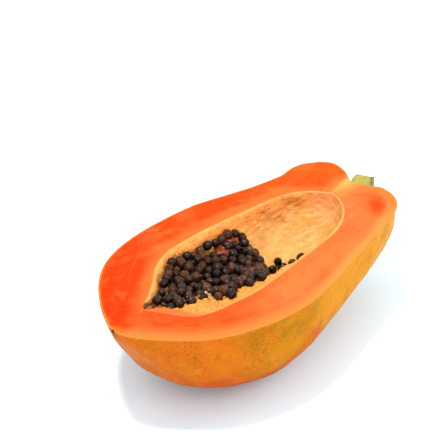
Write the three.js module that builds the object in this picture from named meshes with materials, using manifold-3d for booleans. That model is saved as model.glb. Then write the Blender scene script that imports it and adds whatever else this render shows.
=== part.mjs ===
// Half of a ripe papaya, cut along its length through the stalk and lying on its back.
//
// While it is shaped the fruit has its own frame: x runs from the blossom nub to the stalk, y to the
// far side, z up, and the knife's cut is the plane z = 0. At the end the whole group moves so that it
// rests on z = 0 under its middle. Lengths are in millimetres and angles in radians.
// Three kinds of piece: the half itself, which grew as one body, the cut stalk, and the seeds.
// The seeds of the heap hold together as one body; those that lie apart are pieces of their own.

import * as THREE from "three";
import { mergeVertices } from "three/addons/utils/BufferGeometryUtils.js";
import Module from "manifold-3d";

// ---------- Driving dimensions ----------

// Outline of the whole fruit, from the blossom nub to the bottom of the stalk's pit: [x, radius]. The
// knife passed through its middle.
const OUTLINE = [
  [-3.6, 0], [-1.5, 9.5], [4, 20], [12, 32.5], [25, 48], [42, 61], [64, 70], [90, 73.5], [116, 71.5],
  [140, 67], [162, 60.5], [184, 54], [204, 49], [219, 46], [230.5, 37.5], [237, 25], [234, 10.5],
  [228.5, 2], [226, 0],
];
// Its depth over a round one's: [place, share].
const BELLY = [[0, 0.75], [0.1, 0.8], [0.22, 1.05], [0.35, 1.03], [0.6, 1.11], [0.75, 1.01], [1, 1]];
// Its middle line: [x, y].
const SWAY = [
  [-3.6, 1.5], [2, -0.3], [20, -2], [50, 0], [95, -0.7], [140, 0.3], [180, -4], [205, -4.5], [226, 0],
];
const LOBES = 5;
const LOBE_CREST = THREE.MathUtils.degToRad(62); // a lobe's crest, measured down from the far rim
const LOBE_BODY = { size: 0.014 }; // lobes stand out by a share of the radius, along the whole fruit
const LOBE_BLOSSOM = { size: 0.028, at: 0.12, width: 0.09 }; // and more at its two ends
const LOBE_SHOULDER = { size: 0.036, at: 0.8, width: 0.1 };
const SHOULDER_RISE = { height: 5.5, at: 0.82, width: 0.07 }; // a lobe's shoulder stands past the outline
const PIT_DENT = { depth: 7, at: 0.9, width: 0.07 }; // the near side of the pit, pressed in by the stalk
const PIT_FADE = 10; // rise and dent fade out within this radius, at the bottom of the pit

// The seed cavity, from blossom end to stalk end: [x, far half width, near half width, depth].
const CAVITY = [
  [25, 0, 0, 0], [31, 7, 13.5, 8], [38, 12.5, 26.5, 16], [51, 23, 32.5, 26], [65, 34, 35, 34],
  [83, 41, 38, 40], [105, 41, 37.5, 42], [127, 38.5, 36.5, 41], [149, 34.5, 35.5, 38],
  [170, 30.5, 33, 33], [188, 24.5, 24.5, 25], [200, 13.5, 13, 14], [206, 0, 0, 0],
];
const CAVITY_START = CAVITY[0][0];
const CAVITY_END = CAVITY[CAVITY.length - 1][0];
const CAVITY_TIP = { y: 7, fades: 12 }; // its blossom end points this far to the far side
// Round the hollow the cut meets the pale lining at a slant: a lip that slopes down and then rolls
// over into the wall: [x, width of this lip], on each side.
const FAR_LIP = [[25, 0], [45, 3], [75, 4], [120, 4], [206, 2.5]];
const NEAR_LIP = [
  [25, 0], [31, 5], [38, 15], [48, 20], [60, 20], [76, 18], [92, 14], [110, 9], [130, 4], [206, 2],
];
// How soon it rolls over, its greatest share of the half width, and how far it slopes over its width.
const LIP_TURN = { across: 0.05, down: 0.12, most: 0.62, fall: 0.35 };
const PLACENTA = 0.02; // height of the five bands that bore the seeds, as a share of the radius

const REST_FLAT = 2.2; // ripe flesh settles this much where the half lies
const GAP = 0.35; // clearance between pieces that touch

const SEED = { length: 6.9, width: 6.1, facets: 1.03, least: 0.88, most: 1.18 };
const SEED_ROOM = SEED.width / 2 + GAP + 0.25; // from the middle of a seed to the lining

// Top of the heap of seeds: it falls towards the stalk, dishes in the middle, climbs both walls, and
// ends at its brow.
const HEAP = { top: -4, from: 50, slope: 0.15, dish: 7, middle: 2, reach: 38, steep: 2, highest: -1.2 };
const FAR_CLIMB = { from: 100, to: 130, rate: 0.28 };
const NEAR_CLIMB = { from: 50, to: 105, rate: 0.24 };
const HEAP_BROW = { x: 129, farTurn: 0.4 };
const HEAP_CORE = { down: 0.9, out: 2, gap: 0.8 }; // the core lies under the top seeds and past the brow
// The edge of the heap, from its blossom end along the far wall, down its brow and back: [x, y].
const FAR_EDGE = [[40, 11], [44, 13], [62, 22], [78, 33], [92, 34], [112, 32], [137, 29]];
const BROW_EDGE = [[140, 26], [136, 14], [132, 4], [111, -12]];
const NEAR_EDGE = [
  [103, -27], [96, -29], [93, -26], [86, -28], [83, -23], [77, -18], [74, -24], [69, -27], [62, -23],
  [59, -12], [52, -10], [50, -5], [44, -5], [38, -7], [39, -3], [43, 5], [39, 9],
];
const FOOT_EDGE = [[139, 19.5], [142, 5], [133, -8], [121, -19], [110, -28]]; // where it ends past the brow
const HEAP_OUTLINE = [...FAR_EDGE, ...FOOT_EDGE, ...NEAR_EDGE];
const HEAP_AREA = { x: [28, 150], y: [-34, 38] };
const HEAP_SEEDS = {
  closest: 5.3, apart: 5.8, stray: 1, tries: 5200, scatter: 1.7, tallest: 3, start: 7,
};
const BARE_SPOTS = [[118, 25.5, 5.5], [77, 24, 3.5]]; // places with no seed: [x, y, radius]
// The seeds that lie apart on the lining: [x, y].
const LOOSE_SEEDS = [
  [31.5, 6], [144.8, 22.5], [154.2, 8.5], [146.1, 6.9], [152.4, 1.6], [159.5, -1], [166.5, -4],
];

// The stalk leans to the near side; its outline from the pit outwards: [distance, radius].
const STALK_OUTLINE = [
  [0, 0], [0, 2.6], [2, 6.2], [4.5, 7.6], [8, 6.7], [12, 5.7], [15.6, 5.3], [16, 4.9], [16, 0],
];
const STALK_FOOT = new THREE.Vector3(226.3, -1.2, -0.6);
const STALK_AIM = new THREE.Vector3(0.54, -0.84, -0.03).normalize();
const STALK_CUT = { height: 0.3, tilt: 0.2 }; // the knife left it a little higher on its far side
const STALK_SIDES = 20;

const GRID = { along: 48, around: 30, cavityAround: 18, heap: 6.5 }; // mesh steps
const FAR_OFF = 70; // past everything, for the sides of cutting blocks

// ---------- Small helpers ----------

function lerpTable(table, at) {
  if (at <= table[0][0]) return table[0][1];
  for (let i = 1; i < table.length; i++) {
    const [a, b] = [table[i - 1], table[i]];
    if (at <= b[0]) return a[1] + ((b[1] - a[1]) * (at - a[0])) / (b[0] - a[0]);
  }
  return table[table.length - 1][1];
}

// A smooth curve through rows of any width, at t from 0 to 1: uniform Catmull-Rom, as SplineCurve.
function splineRow(rows, t) {
  const place = THREE.MathUtils.clamp(t, 0, 1) * (rows.length - 1);
  const i = Math.min(Math.floor(place), rows.length - 2);
  const w = place - i;
  const [p0, p1] = [rows[Math.max(i - 1, 0)], rows[i]];
  const [p2, p3] = [rows[i + 1], rows[Math.min(i + 2, rows.length - 1)]];
  return p1.map((_, k) => {
    const [v0, v1] = [(p2[k] - p0[k]) / 2, (p3[k] - p1[k]) / 2];
    const cubic = 2 * p1[k] - 2 * p2[k] + v0 + v1;
    const square = 3 * p2[k] - 3 * p1[k] - 2 * v0 - v1;
    return ((cubic * w + square) * w + v0) * w + p1[k];
  });
}

const bell = (t, { at, width }) => Math.exp(-(((t - at) / width) ** 2));

// Draws from 0 to 1, the same ones every time.
function seededDraw(start) {
  let state = start;
  return () => {
    state = (state * 1664525 + 1013904223) % 4294967296;
    return state / 4294967296;
  };
}

function bisect(low, high, goHigher, rounds = 30) {
  for (let i = 0; i < rounds; i++) {
    const middle = (low + high) / 2;
    if (goHigher(middle)) low = middle;
    else high = middle;
  }
  return (low + high) / 2;
}

const steps = (count) => Array.from({ length: count + 1 }, (_, i) => i / count);

// ---------- The skin ----------

// How far the lobes stand out at t, as a share of the radius.
function lobeSize(t) {
  return (
    LOBE_BODY.size + LOBE_BLOSSOM.size * bell(t, LOBE_BLOSSOM) + LOBE_SHOULDER.size * bell(t, LOBE_SHOULDER)
  );
}

// A point of the skin: t from nub to pit, phi down from the far rim to the near one.
function skinPoint(t, phi) {
  const [x, radius] = splineRow(OUTLINE, t);
  const lobe = Math.cos(LOBES * (phi - LOBE_CREST));
  const r = radius * (1 + lobeSize(t) * lobe);
  const rise = SHOULDER_RISE.height * lobe * bell(t, SHOULDER_RISE);
  const dent = PIT_DENT.depth * Math.max(0, -Math.cos(phi)) ** 2 * bell(t, PIT_DENT);
  const px = x + (rise - dent) * THREE.MathUtils.clamp(radius / PIT_FADE, 0, 1);
  const down = Math.sin(phi);
  const belly = 1 + (lerpTable(BELLY, t) - 1) * down;
  return new THREE.Vector3(px, lerpTable(SWAY, px) + r * Math.cos(phi), -belly * r * down);
}

// ---------- The cavity ----------

// Its section at x, as [x, far, near, depth].
const sectionAt = (x) => splineRow(CAVITY, bisect(0, 1, (t) => splineRow(CAVITY, t)[0] < x));
const tipShift = (x) => CAVITY_TIP.y * Math.exp(-(x - CAVITY_START) / CAVITY_TIP.fades);

// A point of the lining in a section, from its middle: [across, up], phi down from the far edge.
function ringPoint([x, far, near, depth], phi) {
  const c = Math.cos(phi);
  const wide = c > 0 ? far : near;
  const lip = Math.min(lerpTable(c > 0 ? FAR_LIP : NEAR_LIP, x), LIP_TURN.most * wide);
  const fromEdge = Math.min(phi, Math.PI - phi);
  const onLip = Math.exp(-fromEdge / LIP_TURN.across);
  const band = 1 - PLACENTA * Math.cos(LOBES * (phi - LOBE_CREST)) * Math.sin(phi);
  const drop = 1 - Math.exp(-((fromEdge / LIP_TURN.down) ** 2));
  const fall = LIP_TURN.fall * lip * (1 - onLip) * Math.abs(c);
  return [(wide - lip) * c * band + Math.sign(c) * lip * onLip, -depth * Math.sin(phi) * band * drop - fall];
}

function cavityPoint(t, phi) {
  const section = splineRow(CAVITY, t);
  const [across, up] = ringPoint(section, phi);
  return new THREE.Vector3(section[0], tipShift(section[0]) + across, up);
}

// Roughly how much further out the lining is than p in p's own section; under zero past it.
function roomOut(p) {
  if (p.x < CAVITY_START + 0.5 || p.x > CAVITY_END - 0.5) return -5;
  const section = sectionAt(p.x);
  const [y, z] = [p.y - tipShift(p.x), Math.min(p.z, -1e-6)];
  const want = Math.atan2(-z, y);
  const tooShallow = (phi) => {
    const [across, up] = ringPoint(section, phi);
    return Math.atan2(-up, across) < want;
  };
  return Math.hypot(...ringPoint(section, bisect(0, Math.PI, tooShallow, 26))) - Math.hypot(y, z);
}

// Moves p square off the lining until it is at least that far from it.
function keepOff(p, distance) {
  const step = 0.5;
  for (let i = 0; i < 14; i++) {
    const here = roomOut(p);
    const slope = new THREE.Vector3(
      roomOut(p.clone().setX(p.x + step)) - here,
      roomOut(p.clone().setY(p.y + step)) - here,
      here - roomOut(p.clone().setZ(p.z - step)),
    ).divideScalar(step);
    const steepness = slope.length() || 1;
    if (here / steepness >= distance - 0.02) break;
    p.addScaledVector(slope, Math.min(distance - here / steepness, 1.5) / steepness);
  }
  return p;
}

// ---------- Meshes ----------

// Gathers points and faces, and turns them into one closed geometry.
class Surface {
  points = [];
  faces = [];
  row(points) {
    const first = this.points.length;
    this.points.push(...points);
    return points.map((_, i) => first + i);
  }
  // Two triangles for each step of two rows of the same length.
  join(a, b) {
    for (let i = 0; i + 1 < a.length; i++) {
      this.faces.push([a[i], b[i], b[i + 1]]);
      this.faces.push([a[i], b[i + 1], a[i + 1]]);
    }
  }
  geometry() {
    const made = new THREE.BufferGeometry().setFromPoints(this.points);
    made.setIndex(this.faces.flat());
    const merged = mergeVertices(made, 1e-3);
    const index = merged.index.array;
    const kept = [];
    for (let i = 0; i < index.length; i += 3) {
      const [a, b, c] = [index[i], index[i + 1], index[i + 2]];
      if (a !== b && b !== c && a !== c) kept.push(a, b, c);
    }
    merged.setIndex(kept);
    return merged;
  }
}

// Steps that crowd towards the ends of the cavity, and towards its edge.
const crowdEnds = (u) => 0.5 - 0.5 * Math.cos(Math.PI * u);
const crowdEdge = (u) => Math.PI * u - 0.375 * Math.sin(2 * Math.PI * u);

function cavityRows() {
  return steps(GRID.along).map((u) =>
    steps(GRID.cavityAround).map((v) => cavityPoint(crowdEnds(u), crowdEdge(v))),
  );
}

function fruitGeometry() {
  const surface = new Surface();
  const skinRows = steps(GRID.along).map((u) => {
    return surface.row(steps(GRID.around).map((v) => skinPoint(u ** 1.25, Math.PI * v)));
  });
  for (let i = 0; i < GRID.along; i++) surface.join(skinRows[i], skinRows[i + 1]);

  const lining = cavityRows().map((row) => surface.row(row));
  for (let i = 0; i < GRID.along; i++) surface.join(lining[i + 1], lining[i]);

  // The cut face: a band on the far side and one on the near side.
  surface.join(skinRows.map((r) => r[0]), lining.map((r) => r[0]));
  surface.join(lining.map((r) => r[GRID.cavityAround]), skinRows.map((r) => r[GRID.around]));

  const floor = Math.min(...surface.points.map((p) => p.z)) + REST_FLAT;
  for (const p of surface.points) p.z = Math.max(p.z, floor);
  return { geometry: surface.geometry(), floor };
}

// ---------- Solids ----------

const wasm = await Module();
wasm.setup();

function toSolid(geometry) {
  const bare = geometry.index ? geometry.toNonIndexed() : geometry.clone();
  for (const name of Object.keys(bare.attributes)) if (name !== "position") bare.deleteAttribute(name);
  const merged = mergeVertices(bare, 1e-3);
  return new wasm.Manifold(
    new wasm.Mesh({
      numProp: 3,
      vertProperties: merged.attributes.position.array,
      triVerts: new Uint32Array(merged.index.array),
    }),
  );
}

function toGeometry(solid) {
  const mesh = solid.getMesh();
  const made = new THREE.BufferGeometry();
  made.setAttribute("position", new THREE.BufferAttribute(new Float32Array(mesh.vertProperties), 3));
  made.setIndex(new THREE.BufferAttribute(new Uint32Array(mesh.triVerts), 1));
  made.computeVertexNormals();
  return made;
}

const largestBody = (solid) => solid.decompose().reduce((a, b) => (a.volume() > b.volume() ? a : b));

// ---------- The stalk ----------

// The round stalk before the cut, thicker all over by grow.
function roundStalk(grow) {
  const last = STALK_OUTLINE.length - 1;
  const outline = STALK_OUTLINE.map(([distance, radius], i) => {
    const lengthwise = (i < 2 ? -grow : 0) + (i > last - 2 ? grow : 0);
    return new THREE.Vector2(radius > 0 ? radius + grow : 0, distance + lengthwise);
  });
  const turn = new THREE.Quaternion().setFromUnitVectors(new THREE.Vector3(0, 1, 0), STALK_AIM);
  const lathe = new THREE.LatheGeometry(outline, STALK_SIDES).applyQuaternion(turn);
  return toSolid(lathe.translate(...STALK_FOOT));
}

function cutStalk() {
  const along = STALK_AIM.clone().setZ(0).normalize();
  const turn = new THREE.Quaternion().setFromAxisAngle(along, STALK_CUT.tilt);
  const block = new THREE.BoxGeometry(FAR_OFF, FAR_OFF, FAR_OFF).translate(0, 0, FAR_OFF / 2);
  block.applyQuaternion(turn).translate(STALK_FOOT.x, STALK_FOOT.y, STALK_CUT.height);
  return roundStalk(0).subtract(toSolid(block));
}

// ---------- The seeds ----------

// Where the top of the heap ends towards the stalk, at y.
function brow(y) {
  const turn = y < HEAP.middle ? 1 : HEAP_BROW.farTurn;
  return HEAP_BROW.x + turn * (y - HEAP.middle);
}

function heapTop(x, y) {
  const { from, to, rate } = y > HEAP.middle ? FAR_CLIMB : NEAR_CLIMB;
  const climb = rate * (THREE.MathUtils.clamp(x, from, to) - from);
  const dish = (HEAP.dish + climb) * ((y - HEAP.middle) / HEAP.reach) ** 2;
  const fall = HEAP.slope * Math.max(0, x - HEAP.from) + HEAP.steep * Math.max(0, x - brow(y));
  return HEAP.top + dish - fall;
}

function isInside(x, y, outline) {
  let inside = false;
  outline.forEach(([x1, y1], i) => {
    const [x2, y2] = outline.at(i - 1);
    if (y1 > y !== y2 > y && x < ((x2 - x1) * (y - y1)) / (y2 - y1) + x1) inside = !inside;
  });
  return inside;
}

// The middles of the heap's seeds, clear of the seeds that lie apart: those along its edge, each a
// little astray, then as many as find a place inside it.
function heapSeedPlaces(apart) {
  const random = seededDraw(HEAP_SEEDS.start);
  const upTo = (most) => THREE.MathUtils.lerp(-most, most, random());
  const places = [];
  const tryAt = (x, y, lift) => {
    const place = new THREE.Vector3(x, y, Math.min(heapTop(x, y) + lift, HEAP.highest));
    keepOff(place, SEED_ROOM);
    if (place.z > heapTop(place.x, place.y) + HEAP_SEEDS.tallest) return;
    if (apart.some((other) => other.distanceTo(place) < SEED.length * SEED.most + GAP)) return;
    if (places.every((other) => other.distanceTo(place) >= HEAP_SEEDS.closest)) places.push(place);
  };
  const edge = [...FAR_EDGE, ...BROW_EDGE, ...NEAR_EDGE];
  edge.forEach(([x, y], i) => {
    const [nextX, nextY] = edge[(i + 1) % edge.length];
    const count = Math.max(1, Math.round(Math.hypot(nextX - x, nextY - y) / HEAP_SEEDS.apart));
    for (const u of steps(count).slice(0, -1)) {
      const [asideX, asideY] = [upTo(HEAP_SEEDS.stray), upTo(HEAP_SEEDS.stray)];
      tryAt(x + (nextX - x) * u + asideX, y + (nextY - y) * u + asideY, upTo(HEAP_SEEDS.scatter));
    }
  });
  for (let i = 0; i < HEAP_SEEDS.tries; i++) {
    const x = THREE.MathUtils.lerp(...HEAP_AREA.x, random());
    const y = THREE.MathUtils.lerp(...HEAP_AREA.y, random());
    const lift = upTo(HEAP_SEEDS.scatter);
    if (!isInside(x, y, HEAP_OUTLINE)) continue;
    if (BARE_SPOTS.some(([bareX, bareY, radius]) => Math.hypot(x - bareX, y - bareY) < radius)) continue;
    tryAt(x, y, lift);
  }
  return places;
}

// A seed is a little longer than wide and lies any way round. The corners of its few faces stand a
// little past the smooth seed, so that both hold as much.
function seedSolid(place, index, grow = 0) {
  const random = seededDraw(1000 + 37 * index);
  random();
  const [spin, tip] = [2 * Math.PI * random(), Math.acos(2 * random() - 1)];
  const size = SEED.facets * THREE.MathUtils.lerp(SEED.least, SEED.most, random());
  const [length, width] = [SEED.length * size + 2 * grow, SEED.width * size + 2 * grow];
  const seed = new THREE.OctahedronGeometry(0.5, 1).scale(length, width, width);
  return toSolid(seed.rotateY(tip).rotateZ(spin).translate(place.x, place.y, place.z));
}

// Lifts a seed off the lining's facets, where it would touch them.
function settled(place, index, against) {
  for (let room = SEED_ROOM; !seedSolid(place, index, GAP).intersect(against).isEmpty(); room += 0.12) {
    keepOff(place, room);
  }
  return place;
}

// The room inside the cavity, a gap clear of its lining, up to the cut.
function cavityRoom(gap) {
  const surface = new Surface();
  const middleX = (CAVITY_START + CAVITY_END) / 2;
  const rows = cavityRows().map((row) => {
    const moved = row.map((p) => {
      const inner = new THREE.Vector3(THREE.MathUtils.lerp(p.x, middleX, 0.25), tipShift(p.x), 0.3 * p.z);
      return p.addScaledVector(inner.sub(p).normalize(), gap);
    });
    return surface.row(moved);
  });
  for (let i = 0; i < GRID.along; i++) surface.join(rows[i], rows[i + 1]);
  surface.join(rows.map((r) => r[0]), rows.map((r) => r[GRID.cavityAround]));
  return toSolid(surface.geometry());
}

// The heap below its top seeds: fills the room up to a little under them, inside their edge.
function heapCore() {
  const [[x0, x1], [y0, y1]] = [HEAP_AREA.x, HEAP_AREA.y];
  const [wide, long] = [y1 - y0, x1 - x0];
  const cells = [Math.round(long / GRID.heap), Math.round(wide / GRID.heap), 1];
  const block = new THREE.BoxGeometry(long, wide, FAR_OFF, ...cells);
  block.translate((x0 + x1) / 2, (y0 + y1) / 2, -FAR_OFF / 2);
  const position = block.attributes.position;
  for (let i = 0; i < position.count; i++) {
    if (position.getZ(i) < -1) continue;
    const top = Math.min(heapTop(position.getX(i) - HEAP_CORE.out, position.getY(i)), HEAP.highest);
    position.setZ(i, Math.max(top - HEAP_CORE.down, 1 - FAR_OFF));
  }
  const shape = new THREE.Shape(HEAP_OUTLINE.map(([x, y]) => new THREE.Vector2(x, y)));
  const prism = new THREE.ExtrudeGeometry(shape, { depth: FAR_OFF, bevelEnabled: false });
  const inEdge = toSolid(block).intersect(toSolid(prism.translate(0, 0, -FAR_OFF)));
  return largestBody(inEdge.intersect(cavityRoom(HEAP_CORE.gap)));
}

// ---------- The pieces ----------

const { geometry: uncutHalf, floor } = fruitGeometry();
const half = largestBody(toSolid(uncutHalf).subtract(roundStalk(1.6 * GAP)));
const stalk = cutStalk();

const LOOSE_INDEX = 500; // their own run of draws, past the heap's
const loosePlaces = LOOSE_SEEDS.map(([x, y], i) => {
  const lining = bisect(-50, 0, (z) => roomOut(new THREE.Vector3(x, y, z)) < 0.5);
  return settled(keepOff(new THREE.Vector3(x, y, lining), SEED_ROOM), LOOSE_INDEX + i, half);
});
const loose = loosePlaces.map((place, i) => seedSolid(place, LOOSE_INDEX + i));
const heapSeeds = heapSeedPlaces(loosePlaces).map((place, i) => seedSolid(settled(place, i, half), i));
const heap = largestBody(heapSeeds.reduce((joined, seed) => joined.add(seed), heapCore()));

const LOOK = {
  flesh: { color: 0xf37a2c, roughness: 0.45 },
  stalk: { color: 0xa8a552, roughness: 0.7 },
  seed: { color: 0x2a1a10, roughness: 0.25 },
};

const papaya = new THREE.Group();
papaya.name = "papaya";
const box = new THREE.Box3().setFromBufferAttribute(toGeometry(half.add(stalk)).attributes.position);
papaya.position.set(-(box.min.x + box.max.x) / 2, -(box.min.y + box.max.y) / 2, -floor);

function addPiece(name, solid, look) {
  const mesh = new THREE.Mesh(toGeometry(solid), new THREE.MeshStandardMaterial({ ...look, metalness: 0 }));
  mesh.name = name;
  papaya.add(mesh);
}

addPiece("fruit_half", half, LOOK.flesh);
addPiece("stalk", stalk, LOOK.stalk);
addPiece("seed_heap", heap, LOOK.seed);
loose.forEach((seed, i) => addPiece(`seed_loose_${i + 1}`, seed, LOOK.seed));

export default papaya;
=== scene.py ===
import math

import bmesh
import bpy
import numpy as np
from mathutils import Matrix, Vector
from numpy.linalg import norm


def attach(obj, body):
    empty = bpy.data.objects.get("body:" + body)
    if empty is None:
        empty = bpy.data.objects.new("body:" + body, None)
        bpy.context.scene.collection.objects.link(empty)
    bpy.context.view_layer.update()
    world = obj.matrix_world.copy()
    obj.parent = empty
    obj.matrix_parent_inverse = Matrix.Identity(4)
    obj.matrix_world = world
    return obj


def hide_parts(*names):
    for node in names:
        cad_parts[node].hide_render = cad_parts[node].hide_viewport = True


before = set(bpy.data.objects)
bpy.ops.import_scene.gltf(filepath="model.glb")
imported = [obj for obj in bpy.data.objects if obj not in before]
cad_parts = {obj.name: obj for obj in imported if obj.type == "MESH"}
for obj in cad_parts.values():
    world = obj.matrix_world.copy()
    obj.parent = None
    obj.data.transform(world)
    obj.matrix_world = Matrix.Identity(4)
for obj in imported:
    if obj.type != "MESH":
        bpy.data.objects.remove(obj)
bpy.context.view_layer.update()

# Half of a ripe papaya, cut along its length through the stalk and lying on its back.
#
# The shapes are worked out in millimetres in the fruit's own frame, where x runs from the blossom nub
# to the stalk, y to the far side, z up, and the cut is the plane z = 0. They go to the model's frame,
# in metres, as they are made. The half has three pieces: its skin, its cut face, and the lining of
# its hollow. They meet edge to edge.

MILLIMETRE = 0.001
PLACE = np.array([-119.0596, 0.0322, 73.8533])  # from the fruit's own frame to the model's

# ---------- Sizes and places ----------

# Outline of the whole fruit, from the blossom nub to the bottom of the stalk's pit: [x, radius].
OUTLINE = [
    [-3.6, 0], [-1.5, 9.5], [4, 20], [12, 32.5], [25, 48], [42, 61], [64, 70], [90, 73.5], [116, 71.5],
    [140, 67], [162, 60.5], [184, 54], [204, 49], [219, 46], [230.5, 37.5], [237, 25], [234, 10.5],
    [228.5, 2], [226, 0],
]
# Its depth over a round one's: [place, share], and its middle line: [x, y].
BELLY = [[0, 0.75], [0.1, 0.8], [0.22, 1.05], [0.35, 1.03], [0.6, 1.11], [0.75, 1.01], [1, 1]]
SWAY = [
    [-3.6, 1.5], [2, -0.3], [20, -2], [50, 0], [95, -0.7], [140, 0.3], [180, -4], [205, -4.5], [226, 0],
]
LOBES = 5
LOBE_CREST = math.radians(62)
LOBE_BODY = 0.014
LOBE_BLOSSOM = {"size": 0.028, "at": 0.12, "width": 0.09}
LOBE_SHOULDER = {"size": 0.036, "at": 0.8, "width": 0.1}
SHOULDER_RISE = {"size": 5.5, "at": 0.82, "width": 0.07}
PIT_DENT = {"size": 7, "at": 0.9, "width": 0.07}
PIT_FADE = 10

# The seed cavity, from blossom end to stalk end: [x, far half width, near half width, depth].
CAVITY = [
    [25, 0, 0, 0], [31, 7, 13.5, 8], [38, 12.5, 26.5, 16], [51, 23, 32.5, 26], [65, 34, 35, 34],
    [83, 41, 38, 40], [105, 41, 37.5, 42], [127, 38.5, 36.5, 41], [149, 34.5, 35.5, 38],
    [170, 30.5, 33, 33], [188, 24.5, 24.5, 25], [200, 13.5, 13, 14], [206, 0, 0, 0],
]
CAVITY_START = CAVITY[0][0]
CAVITY_END = CAVITY[-1][0]
CAVITY_TIP = {"y": 7, "fades": 12}
# Round the hollow the cut meets the pale lining at a slant: a lip of this width on each side [x, width].
FAR_LIP = [[25, 0], [45, 3], [75, 4], [120, 4], [206, 2.5]]
NEAR_LIP = [
    [25, 0], [31, 5], [38, 15], [48, 20], [60, 20], [76, 18], [92, 14], [110, 9], [130, 4], [206, 2],
]
LIP_TURN = {"across": 0.05, "down": 0.12, "most": 0.62, "fall": 0.35}
PLACENTA = 0.02

FLOWER_SCAR = np.array([-3.1, 5.8, -0.8])
REST_FLAT = 2.2
GAP = 0.35

SEED = {"length": 6.9, "width": 6.1, "least": 0.88, "most": 1.18}
SEED_ROOM = SEED["width"] / 2 + GAP + 0.25
# Top of the heap of seeds: it falls towards the stalk, dishes in the middle, climbs both walls, and
# ends at its brow.
HEAP = {
    "top": -4, "from": 50, "slope": 0.15, "dish": 7, "middle": 2, "reach": 38, "steep": 2, "highest": -1.2,
}
FAR_CLIMB = {"from": 100, "to": 130, "rate": 0.28}
NEAR_CLIMB = {"from": 50, "to": 105, "rate": 0.24}
HEAP_BROW = {"x": 129, "far_turn": 0.4}
# The heap's outline from above [x, y], whose brow lies above its foot.
FAR_EDGE = [[40, 11], [44, 13], [62, 22], [78, 33], [92, 34], [112, 32], [137, 29]]
BROW_EDGE = [[140, 26], [136, 14], [132, 4], [111, -12]]
NEAR_EDGE = [
    [103, -27], [96, -29], [93, -26], [86, -28], [83, -23], [77, -18], [74, -24], [69, -27], [62, -23],
    [59, -12], [52, -10], [50, -5], [44, -5], [38, -7], [39, -3], [43, 5], [39, 9],
]
FOOT_EDGE = [[139, 19.5], [142, 5], [133, -8], [121, -19], [110, -28]]
HEAP_LOOP = FAR_EDGE + FOOT_EDGE + NEAR_EDGE + FAR_EDGE[:1]
HEAP_AREA = [(28, 150), (-34, 38)]  # along x and y
HEAP_SEEDS = {  # they stray along x, y and z
    "closest": 5.3, "apart": 5.8, "stray": (1, 1, 1.7), "tries": 5200, "tallest": 3, "start": 7,
}
BARE_SPOTS = [[118, 25.5, 5.5], [77, 24, 3.5]]  # no seeds: [x, y, radius]
LOOSE_SEEDS = [
    [31.5, 6], [144.8, 22.5], [154.2, 8.5], [146.1, 6.9], [152.4, 1.6], [159.5, -1], [166.5, -4],
]
LOOSE_INDEX = 500  # their own run of draws, past the heap's

# Scraps among the seeds: juice in the heap's gap [x, y, size], and threads. Their tone picks a colour.
RED_JELLY = {"spots": [[117, 26, 4.5], [122, 22, 4.5], [130, 29, 3.5]], "each": 6, "size": (2.8, 4.2)}
RED, BROWN, PALE = 0.0, 0.5, 1.0
# What lies below the top seeds: how far inside the heap's outline, and how far down.
UNDER = {
    "pulp_in": 2.5, "pulp_down": 3.6, "pulp_step": 1.2, "from_x": 44,
    "seeds_in": 4, "seeds_down": 4.4, "closest": 5.2, "tries": 1500, "index": 700, "bare": 2,
}
# The shelf of pulp beside the near edge, in to this line [x, y].
SHELF = {
    "to_x": 112, "rows": 240, "columns": 72, "in": 0.25, "under": 0.5, "slope": 0.075, "dip": 3.2,
    "inner": [
        [25, 6.6], [28, 6.2], [32, 5], [38, 1], [45, 0], [52, -4], [60, -9], [66, -20], [72, -21],
        [77, -14], [84, -19], [92, -22], [102, -27], [108, -33], [112, -39],
    ],
}
THREADS = {"brown": 4, "pale": 46, "pale_reach": 9}
TIP_STRAND = (np.array([25.6, 7.8, -0.6]), np.array([35, 9.0, -1.8]))

STALK_OUTLINE = [
    [0, 0], [0, 2.6], [2, 6.2], [4.5, 7.6], [8, 6.7], [12, 5.7], [15.6, 5.3], [16, 4.9], [16, 0],
]
STALK_FOOT = np.array([226.3, -1.2, -0.6])
STALK_AIM = np.array([0.54, -0.84, -0.03])
STALK_CUT = {"height": 0.3, "tilt": 0.2}

# The light on a level face, where 1 shows a white one as white. It is over 1, for a white floor.
ROOM_LIGHT = 1.71
FLOOR_COLOUR = (0.76, 0.92, 1.0, 1)
FLOOR_REACH = 3000

# Colours along the fruit, from the blossom end (0) to the stalk end (1).
ENDS = (-0.12, 0.12)
SKIN_ALONG = [
    (0, "FA7A1C"), (0.12, "F67E1C"), (0.24, "EC8014"), (0.34, "E88A12"), (0.48, "F69C0C"),
    (0.66, "FFA414"), (0.85, "FFAA1C"), (1, "FCA218"),
]
SKIN_BELLY = ("F2561A", "DC6A0E")
FLESH_FAR = [
    (0, "EE3600"), (0.2, "F03C00"), (0.4, "F04602"), (0.6, "F04A04"), (0.8, "F2540A"), (1, "F65E12"),
]
# The near side's paler, pinker orange is partly the flesh's own colour and partly a painted sheen on the wet
# cut.
FLESH_NEAR_WITH_SHEEN = [
    (0, "EE4206"), (0.2, "F4500E"), (0.36, "FA803E"), (0.6, "F87C3A"), (0.85, "F98240"), (1, "FA7E3C"),
]
SEED_TONES = [(0, "0A0402"), (0.4, "160804"), (0.65, "281206"), (0.87, "401E0C"), (1, "5E3018")]

# Lights: name, place, width, and power in watts.
LIGHTS = [
    ("softbox", (0.2, 0.25, 1.9), 2.2, 5), ("key", (-0.2, 0.0, 1.3), 0.2, 15),
    ("fill", (-0.4, -1.2, 0.8), 1.2, 10), ("side", (1.2, -0.8, 0.9), 1.0, 6),
]
LIT = (0, 0, 0.04)  # where they aim

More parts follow.
